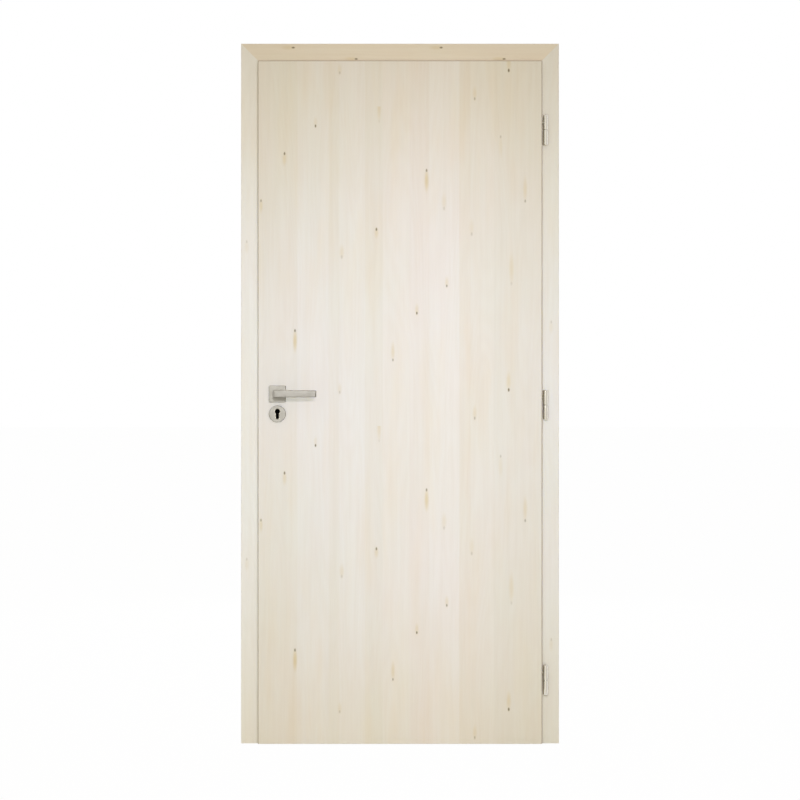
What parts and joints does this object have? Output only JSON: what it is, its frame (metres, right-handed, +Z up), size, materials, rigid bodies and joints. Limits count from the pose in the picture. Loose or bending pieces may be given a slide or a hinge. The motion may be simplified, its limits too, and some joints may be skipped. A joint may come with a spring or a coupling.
{
  "type": "interior door set with rebated flush leaf and casing frame",
  "caption": "Flush rebated interior door leaf in pale spruce decor, hung in a mitred wrap-round casing frame, with lever handles, rose, keyhole cover and drill-in hinges.",
  "frame": {"origin": "on the floor at the corner of the wall opening: outer face of the hinge jamb, in the plane of the wall's front face", "axes": "+X from the lock side to the hinge side, +Y into the wall away from the room, +Z up"},
  "size_m": [0.95, 0.204, 2.091],
  "materials": {
    "leaf_decor": "pale whitened spruce decor, matt",
    "leaf_filling": "raw tubular chipboard and softwood, hidden in the leaf",
    "frame_decor": "pale whitened spruce decor, matt",
    "seal_rubber": "soft beige-grey profile",
    "hinge_metal": "bright nickel plate",
    "satin_nickel": "satin nickel, finely brushed",
    "lock_metal": "bright zinc-plated steel",
    "lock_steel": "dark painted lock case, hidden in the leaf"
  },
  "bodies": {
    "frame": {"front_casing_hinge_side": "frame_decor", "front_casing_lock_side": "frame_decor", "front_casing_head": "frame_decor", "rear_casing_hinge_side": "frame_decor", "rear_casing_lock_side": "frame_decor", "rear_casing_head": "frame_decor", "lining_hinge_side": "frame_decor", "lining_lock_side": "frame_decor", "lining_head": "frame_decor", "stop_hinge_side": "frame_decor", "stop_lock_side": "frame_decor", "stop_head": "frame_decor", "seal_hinge_side": "seal_rubber", "seal_lock_side": "seal_rubber", "seal_head": "seal_rubber", "strike_plate": "lock_metal", "hinge_1_frame_half": "hinge_metal", "hinge_2_frame_half": "hinge_metal", "hinge_3_frame_half": "hinge_metal"},
    "leaf": {"leaf_front_skin": "leaf_decor", "leaf_rear_skin": "leaf_decor", "leaf_hinge_stile": "leaf_decor", "leaf_lock_stile": "leaf_decor", "leaf_top_rail": "leaf_decor", "leaf_hinge_lipping": "leaf_decor", "leaf_lock_lipping": "leaf_decor", "leaf_top_lipping": "leaf_decor", "leaf_bottom_rail": "leaf_decor", "leaf_lock_block": "leaf_filling", "leaf_core": "leaf_filling", "lock_forend": "lock_metal", "lock_case": "lock_steel", "latch_bolt": "lock_metal", "dead_bolt": "lock_metal", "front_rose": "satin_nickel", "rear_rose": "satin_nickel", "front_escutcheon": "satin_nickel", "rear_escutcheon": "satin_nickel", "hinge_1_leaf_half": "hinge_metal", "hinge_2_leaf_half": "hinge_metal", "hinge_3_leaf_half": "hinge_metal"},
    "lever": {"front_lever": "satin_nickel", "rear_lever": "satin_nickel", "lever_spindle": "lock_metal"}
  },
  "joints": [
    {"name": "leaf_swing", "type": "hinge", "parent": "frame", "child": "leaf", "pos_m": [-0.0097, -0.0245, 0], "axis": [0, 0, 1], "range_deg": [0, 170]},
    {"name": "lever_turn", "type": "hinge", "parent": "leaf", "child": "lever", "pos_m": [-0.807, -0.012, 1.044], "axis": [0, 1, 0], "range_deg": [0, 40], "stiffness_Nm_per_rad": 1.5, "springref_deg": -20.05}
  ]
}
